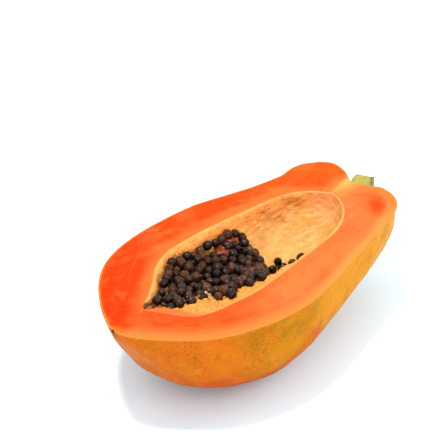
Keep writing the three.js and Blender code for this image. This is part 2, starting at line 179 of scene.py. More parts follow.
# Low relief of each surface: the height of a swell, how long it is, and where its draws start.
RELIEF = {
    "skin": [(0.30, 34, 1), (0.10, 13, 2), (0.035, 5, 3)],
    "lining": [(0.24, 13, 11), (0.12, 5, 12)],
    "face": [(0.12, 19, 21), (0.05, 6, 22), (0.025, 2.6, 23)],
    "shelf": [(0.4, 4.5, 51), (0.22, 1.9, 52)],
    "pulp": [(0.4, 6, 5), (0.2, 2.5, 6)],
}

# Fineness of the surfaces: rows along the fruit, and steps across each of its pieces.
ROWS = {"along": 264, "skin": 190, "face": 56, "lining": 170}
EDGE_ROUND = 0.45  # the cut's edge at the skin is rounded by this much
EDGE_SINK = {"size": 0.35, "at": 0, "width": 0.9}  # its edge at the hollow sinks by this much

# The camera, in the fruit's own frame: its place from its aim is to its right, up and back.
CAMERA = {
    "azimuth": -46.115, "elevation": 30.608, "roll": 4.667, "aim": (115, 0, 0),
    "from_aim": (-14.771, 17.016, 1000),
}
CAMERA_FOCUS = 1529.2  # focal length in pixels of a frame 447 pixels wide
FRAME_PIXELS = 447

# ---------- Small helpers ----------


def table(rows, at):
    return np.interp(at, *np.transpose(rows))


def spline(rows, t):
    """A smooth curve through rows of any width, at t from 0 to 1: uniform Catmull-Rom."""
    rows = np.asarray(rows, float)
    place = np.clip(t, 0, 1) * (len(rows) - 1)
    i = np.minimum(np.floor(place).astype(int), len(rows) - 2)
    w = (place - i)[..., None]
    p0, p1 = rows[np.maximum(i - 1, 0)], rows[i]
    p2, p3 = rows[i + 1], rows[np.minimum(i + 2, len(rows) - 1)]
    v0, v1 = (p2 - p0) / 2, (p3 - p1) / 2
    cubic = 2 * p1 - 2 * p2 + v0 + v1
    square = 3 * p2 - 3 * p1 - 2 * v0 - v1
    return ((cubic * w + square) * w + v0) * w + p1


def bell(t, spec):
    return spec["size"] * np.exp(-(((t - spec["at"]) / spec["width"]) ** 2))


def ease(low, high, value):
    """From 0 to 1, softly, as the value goes from low to high."""
    u = np.clip((value - low) / (high - low), 0, 1)
    return u * u * (3 - 2 * u)


def seeded_draw(state):
    """Draws from 0 to 1, the same ones every time."""
    while True:
        state = (state * 1664525 + 1013904223) % 4294967296
        yield state / 4294967296


def bisect(low, high, go_higher, rounds=30):
    for _ in range(rounds):
        middle = (low + high) / 2
        higher = go_higher(middle)
        low = np.where(higher, middle, low)
        high = np.where(higher, high, middle)
    return (low + high) / 2


def unit(vectors):
    return vectors / np.maximum(norm(vectors, axis=-1, keepdims=True), 1e-9)


def ripples(points, length, start, count=28):
    """A smooth random field of about unit height, whose swells are about this length apart."""
    random = np.random.default_rng(start)
    aims = unit(random.normal(size=(count, 3)))
    aims *= 2 * np.pi / length * random.uniform(0.6, 1.4, (count, 1))
    phases = random.uniform(0, 2 * np.pi, count)
    return sum(np.cos(points @ aim + phase) for aim, phase in zip(aims, phases)) / math.sqrt(count / 2)


def relief(points, surface):
    return sum(height * ripples(points, length, start) for height, length, start in RELIEF[surface])


def grid(rows, columns):
    """Steps from 0 to 1 along and across a grid of this many cells."""
    return np.meshgrid(np.linspace(0, 1, rows + 1), np.linspace(0, 1, columns + 1), indexing="ij")


def distance_to(points, line):
    """How far points lie from a line of straight stretches, seen from above."""
    flat, line = points[..., :2].reshape(-1, 1, 2), np.asarray(line, float)[:, :2]
    start, step = line[:-1], np.diff(line, axis=0)
    length = np.maximum((step ** 2).sum(-1), 1e-12)
    best = np.full(len(flat), 1e9)
    for first in range(0, len(start), 64):
        part = slice(first, first + 64)
        w = np.clip(((flat - start[part]) * step[part]).sum(-1) / length[part], 0, 1)[..., None]
        gap = norm(flat - start[part] - w * step[part], axis=-1).min(1)
        best = np.minimum(best, gap)
    return best.reshape(points.shape[:-1])


def from_edges(points, rows):
    """How far points lie from the nearer edge of rows of points."""
    return np.minimum(distance_to(points, rows[:, 0]), distance_to(points, rows[:, -1]))


def run_length(points, axis):
    """How far along a grid each point is, in one of its two directions."""
    steps = norm(np.diff(points, axis=axis), axis=-1)
    return np.insert(np.cumsum(steps, axis=axis), 0, 0, axis=axis)


# ---------- The skin ----------


def skin_point(t, phi):
    """A point of the skin: t from nub to pit, phi down from the far rim to the near one."""
    x, radius = np.moveaxis(spline(OUTLINE, t), -1, 0)
    lobe = np.cos(LOBES * (phi - LOBE_CREST))
    r = radius * (1 + (LOBE_BODY + bell(t, LOBE_BLOSSOM) + bell(t, LOBE_SHOULDER)) * lobe)
    rise = lobe * bell(t, SHOULDER_RISE)
    dent = np.maximum(0, -np.cos(phi)) ** 2 * bell(t, PIT_DENT)
    px = x + (rise - dent) * np.clip(radius / PIT_FADE, 0, 1)
    down = np.sin(phi)
    belly = 1 + (table(BELLY, t) - 1) * down
    return np.stack([px, table(SWAY, px) + r * np.cos(phi), -belly * r * down], -1)


# ---------- The cavity ----------


def section_at(x):
    return spline(CAVITY, bisect(0 * x, 0 * x + 1, lambda t: spline(CAVITY, t)[..., 0] < x))


def tip_shift(x):
    return CAVITY_TIP["y"] * np.exp(-(x - CAVITY_START) / CAVITY_TIP["fades"])


def ring_point(section, phi):
    """A point of the lining in a section, from its middle: across and up, phi down from the far edge."""
    x, far, near, depth = np.moveaxis(section, -1, 0)
    c, s = np.cos(phi), np.sin(phi)
    wide = np.where(c > 0, far, near)
    lip = np.where(c > 0, table(FAR_LIP, x), table(NEAR_LIP, x))
    lip = np.minimum(lip, LIP_TURN["most"] * wide)
    from_edge = np.minimum(phi, np.pi - phi)
    on_lip = np.exp(-from_edge / LIP_TURN["across"])
    band = 1 - PLACENTA * np.cos(LOBES * (phi - LOBE_CREST)) * s
    drop = 1 - np.exp(-((from_edge / LIP_TURN["down"]) ** 2))
    fall = LIP_TURN["fall"] * lip * (1 - on_lip) * np.abs(c)
    return (wide - lip) * c * band + np.sign(c) * lip * on_lip, -depth * s * band * drop - fall


def cavity_point(t, phi):
    section = spline(CAVITY, t)
    across, up = ring_point(section, phi)
    x = section[..., 0] + 0 * across
    return np.stack([x, tip_shift(x) + across, up], -1)


def room_out(p):
    """Roughly how much further out the lining is than each point, under zero past it."""
    x = np.clip(p[:, 0], CAVITY_START + 0.5, CAVITY_END - 0.5)
    section = section_at(x)
    y, z = p[:, 1] - tip_shift(x), np.minimum(p[:, 2], -1e-6)
    want = np.arctan2(-z, y)

    def too_shallow(phi):
        across, up = ring_point(section, phi)
        return np.arctan2(-up, across) < want

    phi = bisect(0 * x, 0 * x + math.pi, too_shallow, 26)
    room = np.hypot(*ring_point(section, phi)) - np.hypot(y, z)
    return np.where(x == p[:, 0], room, -5.0)


def keep_off(points, distance):
    """Moves points square off the lining until they are at least that far from it."""
    points = np.array(points, float)
    step = 0.5
    busy = np.arange(len(points))
    for _ in range(14):
        p = points[busy]
        here = room_out(p)
        slope = np.stack([
            room_out(p + [step, 0, 0]) - here,
            room_out(p + [0, step, 0]) - here,
            here - room_out(p - [0, 0, step]),
        ], -1) / step
        steepness = norm(slope, axis=1)
        steepness[steepness == 0] = 1
        short = here / steepness < distance - 0.02
        move = np.minimum(distance - here / steepness, 1.5) / steepness
        points[busy[short]] += (slope * move[:, None])[short]
        busy = busy[short]
        if not len(busy):
            break
    return points


# ---------- Meshes and materials ----------


def seen(code):
    """The surface colour that looks like these six hexadecimal digits on a level face in this room."""
    parts = [int(code[i:i + 2], 16) / 255 for i in (0, 2, 4)]
    linear = [c / 12.92 if c <= 0.04045 else ((c + 0.055) / 1.055) ** 2.4 for c in parts]
    return [c / ROOM_LIGHT for c in linear] + [1.0]


def new_object(name, data):
    thing = bpy.data.objects.new(name, data)
    bpy.context.scene.collection.objects.link(thing)
    return thing


def mesh_piece(name, points, faces, material, masks=None, welded=False):
    """A smooth piece from points in the fruit's own frame; masks are numbers that its material reads."""
    mesh = bpy.data.meshes.new(name)
    mesh.from_pydata(((points + PLACE) * MILLIMETRE).tolist(), [], faces)
    for mask, values in (masks or {}).items():
        attribute = mesh.attributes.new(mask, "FLOAT", "POINT")
        attribute.data.foreach_set("value", np.ravel(values).astype(np.float32))
    mesh.materials.append(material)
    mesh.polygons.foreach_set("use_smooth", [True] * len(mesh.polygons))
    if welded:
        weld(mesh)
    mesh.update()
    return new_object(name, mesh)


def grid_faces(rows, columns, flip=False, closed=False):
    """The quads of a grid of rows x columns points, laid row by row."""
    i, j = np.meshgrid(np.arange(rows - 1), np.arange(columns if closed else columns - 1), indexing="ij")
    a = i * columns + j
    b = i * columns + (j + 1) % columns
    quads = np.stack([a, b, b + columns, a + columns], -1).reshape(-1, 4)
    return (quads[:, ::-1] if flip else quads).tolist()


def grid_piece(name, rows, material, masks=None, flip=False, closed=False):
    """A smooth piece from rows of points."""
    faces = grid_faces(*rows.shape[:2], flip=flip, closed=closed)
    return mesh_piece(name, rows.reshape(-1, 3), faces, material, masks, welded=True)


def weld(mesh, distance=0.00002):
    """Merges the points that a grid repeats where it closes on itself."""
    bm = bmesh.new()
    bm.from_mesh(mesh)
    bmesh.ops.remove_doubles(bm, verts=bm.verts, dist=distance)
    bmesh.ops.dissolve_degenerate(bm, edges=bm.edges, dist=distance / 4)
    bm.to_mesh(mesh)
    bm.free()


class Look:
    """A material, made one call at a time; most calls add a node and give its output.

    Under is how light goes below the surface: its weight, its scale in metres and its reach by colour.
    """

    def __init__(self, name, gloss, under=(0, 0, (0, 0, 0)), **shader):
        self.material = bpy.data.materials.new(name)
        self.material.use_nodes = True
        self.tree = self.material.node_tree
        self.shader = self.tree.nodes["Principled BSDF"]
        shader.update(zip(("Subsurface_Weight", "Subsurface_Scale", "Subsurface_Radius"), under))
        for socket, value in {"Specular_IOR_Level": gloss, **shader}.items():
            self.shader.inputs[socket.replace("_", " ")].default_value = value
        self.place = self.add("TexCoord").outputs["Object"]
        self.colour = None

    def add(self, kind, inputs=None, **settings):
        node = self.tree.nodes.new("ShaderNode" + kind)
        for setting, value in settings.items():
            setattr(node, setting, value)
        for socket, value in (inputs or {}).items():
            self.plug(value, node.inputs[socket])
        return node

    def plug(self, value, socket):
        """Gives a socket an output, a number or a colour's digits, and leaves it alone for None."""
        if isinstance(value, bpy.types.NodeSocket):
            self.tree.links.new(value, socket)
        elif value is not None:
            socket.default_value = seen(value) if isinstance(value, str) else value

    def math(self, operation, a, b=0.0):
        return self.add("Math", {0: a, 1: b}, operation=operation).outputs[0]

    def both(self, *values):
        """The product of several values."""
        product = values[0]
        for value in values[1:]:
            product = self.math("MULTIPLY", product, value)
        return product

    def vector(self, *pairs):
        """A vector, from a value and its factor for each axis."""
        inputs = {axis: self.both(*pair) for axis, pair in enumerate(pairs)}
        return self.add("CombineXYZ", inputs).outputs[0]

    def noise(self, size, detail=3.0, vector=None, stretch=None, rough=0.55, distortion=0.0):
        """Soft noise of about unit spread round a half, whose features are size millimetres."""
        vector = vector or self.place
        if stretch:
            vector = self.add("Mapping", {"Vector": vector, "Scale": stretch}).outputs[0]
        inputs = {"Vector": vector, "Scale": 1000 / size, "Detail": detail, "Roughness": rough}
        return self.add("TexNoise", {**inputs, "Distortion": distortion}).outputs["Fac"]

    def cells(self, size, output="Distance"):
        return self.add("TexVoronoi", {"Vector": self.place, "Scale": 1000 / size}).outputs[output]

    def span(self, value, low, high, to_low=0.0, to_high=1.0, smooth=True):
        """Value from low to high, taken to to_low to to_high."""
        inputs = {"Value": value, "From Min": low, "From Max": high, "To Min": to_low, "To Max": to_high}
        kind = "SMOOTHSTEP" if smooth else "LINEAR"
        return self.add("MapRange", inputs, interpolation_type=kind).outputs[0]

    def spots(self, size, *span, **noise):
        """A span of noise: spots of this size in millimetres."""
        return self.span(self.noise(size, **noise), *span)

    def ramp(self, value, stops):
        node = self.add("ValToRGB", {"Fac": value})
        band = node.color_ramp
        while len(band.elements) < len(stops):
            band.elements.new(0.5)
        for element, (at, code) in zip(band.elements, stops):
            element.position = at
            element.color = seen(code)
        return node.outputs["Color"]

    def mix(self, amount, a, b, blend="MIX"):
        return self.add("Mix", {0: amount, 6: a, 7: b}, data_type="RGBA", blend_type=blend).outputs[2]

    def tint(self, other, *amounts, blend="MIX"):
        """Mixes another colour into the look's own, by the product of the amounts."""
        self.colour = self.mix(self.both(*amounts), self.colour, other, blend)

    def mask(self, name):
        return self.add("Attribute", attribute_name=name).outputs["Fac"]

    def axes(self):
        return self.add("SeparateXYZ", {"Vector": self.place}).outputs

    def bump(self, height, distance, strength=1.0, over=None):
        inputs = {"Height": height, "Distance": distance * MILLIMETRE, "Strength": strength}
        return self.add("Bump", {**inputs, "Normal": over}).outputs["Normal"]

    def done(self, roughness=None, normal=None):
        sockets = {"Base Color": self.colour, "Roughness": roughness, "Normal": normal}
        for socket, value in sockets.items():
            self.plug(value, self.shader.inputs[socket])
        return self.material


def skin_look():
    look = Look("papaya_skin", 0.015)
    span, spots, tint = look.span, look.spots, look.tint
    x, _, z = look.axes()
    nub, around, rim = map(look.mask, ("nub_mm", "around_mm", "rim_mm"))
    waver = spots(40, 0.3, 0.7, -0.02, 0.02)
    along = span(look.math("ADD", x, waver), *ENDS, smooth=False)
    look.colour = look.ramp(along, SKIN_ALONG)
    # Redder low on the belly, most of all towards the blossom end.
    low = span(look.math("ADD", z, waver), 0.056, 0.02)
    tint(look.mix(along, *SKIN_BELLY), low, 0.85)
    # Pale and dark streaks that fan out from the flower's scar.
    streak = look.noise(2.4, vector=look.vector((around, 0.001), (nub, 0.0001)))
    by_nub = span(nub, 42, 8)
    tint("FFA85C", span(streak, 0.54, 0.68), by_nub, 0.5)
    tint("B8481A", span(streak, 0.44, 0.34), by_nub, 0.4)
    # Olive, green and ochre patches high on the flank.
    flank = look.both(span(x, -0.085, -0.055), span(x, -0.005, -0.04), span(rim, 30, 12))
    olive = look.both(spots(19, 0.42, 0.62, detail=4, rough=0.6), flank)
    tint("A67E04", olive, 0.6)
    tint("7C8438", spots(9, 0.55, 0.68), olive, 0.6)
    tint("CC6C04", spots(24, 0.5, 0.7, detail=4, rough=0.62), 0.4)
    # Fine mottling, golden flecks, and brown dashes and pores.
    fine = spots(1.8, 0.38, 0.66, detail=5, rough=0.75)
    tint("C25C06", fine, 0.25)
    tint("FFB02C", spots(5, 0.5, 0.72, detail=5, rough=0.75), 0.35)
    dash = spots(1.0, 0.525, 0.65, stretch=(0.6, 0.9, 1.2), rough=0.65)
    tint("8A4A12", dash, spots(15, 0.4, 0.52), span(x, -0.115, -0.1), span(x, -0.01, -0.05), 0.7)
    chosen = span(look.cells(1.9, "Color"), 0.4, 0.5)
    pores = look.both(span(look.cells(1.9), 0.32, 0.08), chosen, spots(15, 0.36, 0.56))
    tint("8A4816", pores, 0.75)
    # The cut's edge, and the scar of the flower.
    tint("F59A48", span(rim, 1.3, 0.2, 0, 0.5))
    tint("B06A28", span(nub, 7, 2.4, 0, 0.5))
    ragged = look.math("ADD", nub, span(streak, 0.3, 0.7, -0.5, 0.5))
    tint("2E1A10", span(ragged, 2.0, 1.0))
    grain = look.bump(look.noise(0.8), 0.05, 0.5)
    dents = look.bump(look.math("ADD", pores, dash), -0.1, 0.7, over=grain)
    return look.done(span(fine, 0, 1, 0.4, 0.56), look.bump(look.noise(6), 0.25, 0.4, over=dents))


def flesh_look():
    look = Look("papaya_flesh", 0.02, (0.12, 0.003, (1.0, 0.22, 0.06)))
    span, tint = look.span, look.tint
    x, y, _ = look.axes()
    names = ("skin_mm", "hollow_mm", "run_mm", "near_side", "seam_mm", "spoke_mm")
    skin, hollow, run, side, seam, spoke = map(look.mask, names)
    along = span(x, *ENDS, smooth=False)
    # The near side's ramp holds a painted sheen as well as the flesh's colour.
    look.colour = look.mix(side, look.ramp(along, FLESH_FAR), look.ramp(along, FLESH_NEAR_WITH_SHEEN))
    # Bands that run with the hollow's edge, and fibres that cross from the skin to the hollow.
    wander = look.math("ADD", skin, span(look.noise(15, 2), 0.25, 0.75, -6, 6, smooth=False))
    bands = look.vector((run, 0.0002), (wander, 0.001), (y, 0.1))
    band = look.noise(4.5, 4, bands, rough=0.6)
    fibres = look.vector((run, 0.001), (skin, 0.00008), (y, 0.1))
    fibre = look.noise(1.7, 4, fibres, rough=0.6)
    cloud = look.noise(24)
    blossom = span(x, -0.045, -0.085)
    tint("F04410", span(cloud, 0.5, 0.66), 0.3)
    tint("FF7A38", span(cloud, 0.5, 0.36), 0.3)
    tint("FF8A4A", span(band, 0.53, 0.72), 0.3)
    tint("E83C0C", span(band, 0.47, 0.3), 0.3)
    tint("FF7434", span(fibre, 0.48, 0.8), span(blossom, 0, 1, 0.06, 0.14))
    tint("DE3406", span(fibre, 0.48, 0.28), 0.16)
    # Broad coral bands on the near side.
    tint("F2622E", span(look.noise(11, 2, bands), 0.47, 0.63), side, 0.42)
    # Beside the hollow it is paler on the far side and redder on the near one.
    edge = look.math("ADD", hollow, span(cloud, 0.3, 0.7, -3, 3))
    tint("FC7832", span(edge, 13, 3), look.math("SUBTRACT", 1, side), 0.8)
    tint("F4541C", span(edge, 10, 5), span(x, 0.02, -0.05), side, 0.6)
    # Deep red in the near shoulder, longer from the viewer away than across.
    from_x, from_y = look.math("ADD", x, -0.09), look.math("ADD", y, 0.036)
    across = look.math("ABSOLUTE", look.math("SUBTRACT", from_x, from_y))
    away = look.math("ABSOLUTE", look.math("ADD", from_x, from_y))
    tint("F04802", span(across, 0.014, 0.001), span(away, 0.034, 0.002), 0.95)
    # Under the skin it pales to yellow, in a broad band on the near side.
    near_wide = span(x, -0.075, -0.025, 17, 10)
    wide = look.add("Mix", {0: side, 2: 2.4, 3: near_wide}).outputs[0]
    wide = look.math("ADD", wide, span(cloud, 0.3, 0.7, -1, 1))
    near_pale = look.mix(span(x, -0.06, 0.02), "FC8C42", "FC9A4C")
    near_pale = look.mix(span(x, 0.085, 0.1), near_pale, "FC8030")
    tint(look.mix(side, "F06418", near_pale), span(look.math("DIVIDE", skin, wide), 1.0, 0.1), 0.8)
    tint("F4923A", span(skin, 1.4, 0.3, 0, 0.65))
    # The line round the hollow, the pale seam at the tip, and the spoke under the stalk.
    tint("FCA458", span(hollow, 1.4, 0.2, 0, 0.3))
    tint("FF9A5C", span(seam, 1.4, 0.1), span(x, -0.103, -0.096), 0.3)
    tint("FAA050", span(spoke, 15, 2), span(x, 0.078, 0.1), span(side, 0, 1, 0.5, 0.9))
    by_spoke = look.math("SUBTRACT", spoke, span(x, 0.086, 0.108, 0.4, 3.6))
    tint("F3A650", span(by_spoke, 1.8, -0.2), span(x, 0.08, 0.09), 0.85)
    tint("CDBA5E", span(by_spoke, 0.4, -1.8), span(x, 0.096, 0.107), 0.8)
    # Strands by the hollow's stalk end.
    veins = span(look.noise(2.6, vector=fibres, rough=0.7), 0.58, 0.66)
    tint("D8481A", veins, span(hollow, 5, 1.5), span(x, 0.045, 0.075), 0.6)
    wet = look.bump(look.noise(1.2), 0.05, 0.5)
    return look.done(span(fibre, 0.3, 0.7, 0.3, 0.5), look.bump(fibre, 0.12, 0.5, over=wet))


def lining_look():
    look = Look("papaya_lining", 0.12, (0.4, 0.006, (1.0, 0.35, 0.12)))
    span, spots, tint = look.span, look.spots, look.tint
    names = ("wall", "stripes", "end", "shelf", "tip", "painted_glow", "painted_light_depth", "edge_mm", "run_mm", "down_mm")
    wall, stripes, end, shelf, tip, painted_glow, painted_light_depth, edge, run, down = map(look.mask, names)
    look.colour = look.mix(spots(13, 0.35, 0.65, detail=4), "F8A052", "FDB564")
    tint("F0964A", spots(4, 0.5, 0.68, detail=4, rough=0.65), 0.4)
    tint("FFC984", spots(6, 0.54, 0.66), 0.35)
    # Fibres high on the far wall: pale streaks along them here, painted as glints on the wet wall, and
    # orange-brown ones at the end.
    flow = look.vector((run, 0.00042), (down, 0.001))
    fibre = look.noise(1.9, 4, flow, rough=0.66, distortion=0.2)
    tint("F39248", wall, 0.35)
    # Painted highlight: pale glints along the fibres.
    tint("FFC684", span(fibre, 0.46, 0.38), wall, 0.5)
    # Yellow stripes down to the floor of the stalk end, and a pinkish end wall.
    stripe = look.noise(3.2, 4, look.vector((run, 0.00016), (down, 0.001)), rough=0.65)
    tint("E6A03C", span(stripe, 0.5, 0.6), stripes, 0.75)
    tint("FFCF86", span(stripe, 0.48, 0.38), stripes, 0.6)
    tint("B8762A", span(look.noise(1.5, vector=flow), 0.62, 0.67), stripes, 0.6)
    tint("F8A478", end, 0.6)
    # The shelf beside the near edge: paler, blotched, torn where seeds were, orange in the tip.
    tint("F6A84E", shelf, 0.7)
    tint("EC8A36", spots(3, 0.52, 0.6, detail=4, rough=0.7), shelf, 0.55)
    tint("FB6A2A", tip, 0.85)
    # Small specks where seeds had hung, and the pale line along the edge.
    tint("C0641E", span(look.cells(2.6), 0.24, 0.1), span(look.cells(2.6, "Color"), 0.55, 0.6), 0.55)
    tint("FFB870", span(edge, 1.2, 0.2, 0, 0.35))
    # Painted light: the colour is brightened against the hollow's shade, more the deeper it goes, beside the
    # near seeds and at the end wall. It stands in for light that comes through the flesh.
    through = look.mix(painted_light_depth, (1.03, 0.96, 0.82, 1.0), (1.06, 1.24, 1.24, 1.0))
    tint(through, 1.0, blend="MULTIPLY")
    tint((1.35, 1.3, 1.2, 1.0), painted_glow, blend="MULTIPLY")
    tint((1.25, 1.2, 1.1, 1.0), end, blend="MULTIPLY")
    tint("DE6A1C", span(fibre, 0.54, 0.6), spots(8, 0.42, 0.58), wall, 0.9)
    soft = look.bump(look.noise(2.2, 4, rough=0.6), 0.22, 0.6)
    strands = look.bump(look.both(fibre, look.math("ADD", wall, 0.25)), 0.4, 0.6, over=soft)
    return look.done(span(fibre, 0.35, 0.65, 0.3, 0.5), strands)


def seed_look():
    """Seeds in their wet skins, which wrinkle over hard ridges and catch small sharp lights."""
    warm = (1.0, 0.6, 0.35, 1.0)
    look = Look("papaya_seed", 0.08, Specular_Tint=warm, Coat_Weight=0.3, Coat_Roughness=0.04)
    tone = look.mask("tone")
    look.colour = look.ramp(tone, SEED_TONES)
    # Painted shade: the brown mottling of the seed skins is stronger on the near seeds, so the far ones in
    # the heap's middle stay darker.
    near = look.span(look.axes()[1], 0.012, -0.012, 0.45, 1)
    look.tint("824E30", look.spots(1.7, 0.5, 0.68), look.span(tone, 0.1, 1.0, 0.3, 0.85), near)
    # Pale specks on the lighter seeds: skin mottling, and painted glints.
    look.tint("9A6A48", look.spots(1.3, 0.62, 0.7, rough=0.6), look.span(tone, 0.5, 1.0), 0.6)
    folds = look.bump(look.noise(1.5, distortion=0.8), 0.4, 0.7)
    normal = look.bump(look.noise(0.8, 2), 0.14, 0.6, over=folds)
    look.plug(normal, look.shader.inputs["Coat Normal"])
    return look.done(look.spots(1.6, 0.35, 0.65, 0.12, 0.3), normal)


def pulp_look():
    """What lies between the seeds: dark with wet seed skins and painted shade, pale and yellow towards the
    near wall.
    """
    look = Look("papaya_pulp", 0.4)
    # Dark brown: seed skins, and painted shade deep between the seeds.
    look.colour = look.mix(look.spots(4, 0.35, 0.65), "1C0C06", "3C1A0C")
    look.tint(look.mix(look.spots(2.5, 0.4, 0.6), "F0AC58", "D8823A"), look.mask("pale"))
    return look.done(look.spots(2, 0.3, 0.7, 0.25, 0.5), look.bump(look.noise(2.5), 0.5, 0.6))


def jelly_look():
    """Torn seed skins full of juice: red, brown or pale by their tone."""
    look = Look("papaya_jelly", 0.3, (0.15, 0.003, (1.0, 0.3, 0.1)), Coat_Weight=0.1)
    tone = look.mask("tone")
    look.colour = look.mix(look.spots(2.5, 0.4, 0.62, detail=4), "B0440A", "642204")
    look.tint(look.mix(look.spots(1.5, 0.4, 0.6), "8A3414", "54200E"), look.span(tone, 0.1, 0.4))
    look.tint(look.mix(look.spots(1.8, 0.4, 0.6), "E6B46A", "C8863E"), look.span(tone, 0.6, 0.9))
    return look.done(look.spots(1.2, 0.3, 0.7, 0.15, 0.35, detail=2), look.bump(look.noise(1), 0.3, 0.6))


def stalk_look():
    """Grey-green bark, and a light fibrous cut that darkens to its end."""
    look = Look("papaya_stalk", 0.3)
    span, spots = look.span, look.spots
    bark, far, along = map(look.mask, ("bark", "far_mm", "along_mm"))
    grain = look.noise(1.1, 4, look.vector((along, 0.0001), (far, 0.001)), rough=0.65)
    cut = look.mix(span(grain, 0.38, 0.62), "A89A3C", "C4B658")
    cut = look.mix(spots(3, 0.5, 0.65, 0, 0.5), cut, "8A8A34")
    skin = look.mix(spots(2.2, 0.36, 0.64, detail=4, rough=0.65), "6F7B44", "98995A")
    skin = look.mix(spots(0.9, 0.55, 0.66, 0, 0.5), skin, "4E5632")
    look.colour = look.mix(bark, cut, skin)
    dusk = look.math("ADD", along, span(grain, 0.3, 0.7, -0.9, 0.9))
    look.tint("5A6428", span(dusk, 12.4, 14.2, 0, 0.85))
    look.tint("A8935A", span(dusk, 15, 15.6))
    return look.done(span(grain, 0.3, 0.7, 0.45, 0.7), look.bump(grain, 0.35, 0.7))


# ---------- The half ----------


def skin_rows():
    """Rows of the skin's points from nub to pit, each from rim to rim."""
    u, v = grid(ROWS["along"], ROWS["skin"])
    # Steps across crowd towards the two rims.
    points = skin_point(u ** 1.25, np.pi * v - 0.4 * np.sin(2 * np.pi * v))
    points[:, [0, -1], 2] = 0
    return points


def settle_on(z, floor, soft=0.6):
    """Heights held above the floor, with a soft bend where they meet it."""
    over = z - floor
    bent = np.where(np.abs(over) < soft, (over + soft) ** 2 / (4 * soft), np.maximum(over, 0))
    return floor + bent


def grid_normals(points):
    along, across = np.gradient(points, axis=(0, 1))
    return unit(np.cross(across, along))


def build_half():
    rows = skin_rows()
    floor = rows[..., 2].min() + REST_FLAT
    normals = grid_normals(rows)
    outward = rows + [0, 0, 20]
    outward[..., 0] -= np.clip(rows[..., 0], 20, 215)
    normals *= np.sign((normals * outward).sum(-1, keepdims=True))
    # Low swells, which die out at the cut, the nub and the pit.
    depth = -rows[..., 2]
    calm = ease(0.5, 7, depth) * ease(2, 25, rows[..., 0]) * ease(236, 215, rows[..., 0])
    rows = rows + normals * (calm * (relief(rows, "skin") - 0.35))[..., None]
    # The rounded edge of the cut: within it the skin turns in.
    short = np.clip(EDGE_ROUND - depth, 0, EDGE_ROUND)
    turn = EDGE_ROUND - np.sqrt(EDGE_ROUND ** 2 - short ** 2)
    rows = rows - unit(normals * [1, 1, 0]) * turn[..., None]
    rows[..., 2] = settle_on(rows[..., 2], floor)
    masks = {
        "nub_mm": norm(rows - FLOWER_SCAR, axis=-1),
        "around_mm": np.linspace(0, 20 * math.pi, rows.shape[1]) + 0 * depth,
        "rim_mm": -rows[..., 2],
    }
    skin = grid_piece("skin", rows, skin_look(), masks)
    lining_rows = lining_points()
    return skin, *build_lining(lining_rows), build_face(rows, lining_rows)


def lining_points():
    """Rows of the lining's points, row for row with the skin, with its low uneven relief."""
    u, v = grid(ROWS["along"], ROWS["lining"])
    rows = cavity_point(0.5 - 0.5 * np.cos(np.pi * u), np.pi * v - 0.375 * np.sin(2 * np.pi * v))
    edge = hollow_edge(rows)
    normals = grid_normals(rows)
    calm = ease(0.3, 3, edge) * ease(CAVITY_START, CAVITY_START + 6, rows[..., 0])
    calm *= ease(CAVITY_END, CAVITY_END - 5, rows[..., 0])
    fibres = 0.09 * ripples(rows * [0.4, 1, 1], 3.2, 13)
    rows = rows + normals * (calm * (relief(rows, "lining") + fibres))[..., None]
    rows[..., 2] -= bell(edge, EDGE_SINK)
    return rows


def build_shelf(look):
    """The ragged pulp between the hollow's near edge and the seeds."""
    u, w = grid(SHELF["rows"] - 1, SHELF["columns"] - 1)
    x = CAVITY_START + 0.6 + (SHELF["to_x"] - CAVITY_START - 0.6) * u
    near = tip_shift(x) - section_at(x)[..., 2] + SHELF["in"]
    wide = np.maximum(table(SHELF["inner"], x) - near, 0.3)
    out = wide * w
    flat = ease(43, 33, x)
    z = -SHELF["under"] - SHELF["slope"] * (1 - 0.7 * flat) * out
    z = z - SHELF["dip"] * (1 - 0.6 * flat) * np.minimum(1, wide / 6) * w ** 5
    points = np.stack([x, near + out, z], -1)
    points[..., 2] += (relief(points, "shelf") - 0.35) * ease(0, 2.5, out) * (1 - 0.6 * flat)
    masks = {
        "shelf": np.ones_like(out),
        "tip": ease(44, 36, points[..., 0] + 0.15 * (points[..., 1] + 15)),
        "edge_mm": out + 1,
        "run_mm": points[..., 0],
        "down_mm": out,
    }
    return grid_piece("shelf", points, look, masks)


def hollow_edge(rows):
    """How far down the lining each point is from the nearer edge of the cut."""
    down = run_length(rows, 1)
    return np.minimum(down, down[:, -1:] - down)


def build_lining(rows):
    x, y, z = np.moveaxis(rows, -1, 0)
    phi = np.arctan2(-z, y)
    # Painted light: on the near side beside the seeds, the lining's colour is brightened against its shade.
    painted_glow = ease(2.6, 2.2, phi) * ease(176, 140, x)
    masks = {
        "wall": ease(118, 168, x) * ease(203, 196, x) * ease(1.05, 0.6, phi),
        "stripes": ease(166, 182, x) * ease(0.6, 1, phi) * ease(2.6, 2.1, phi),
        # The end wall: its own pinkish colour, and painted light that brightens it.
        "end": ease(193, 201, x),
        "shelf": ease(2.2, 2.6, phi) * ease(140, 118, x),
        "tip": ease(48, 38, x) * ease(0.9, 1.6, phi),
        "painted_glow": painted_glow * ease(24, 8, -z) * ease(1, 4, -z),
        # How far down the hollow a point is, which sets how much painted light brightens the lining.
        "painted_light_depth": ease(5, 17, -z),
        "edge_mm": hollow_edge(rows),
        "run_mm": x,
        "down_mm": run_length(rows, 1),
    }
    look = lining_look()
    return grid_piece("lining", rows, look, masks, flip=True), build_shelf(look)


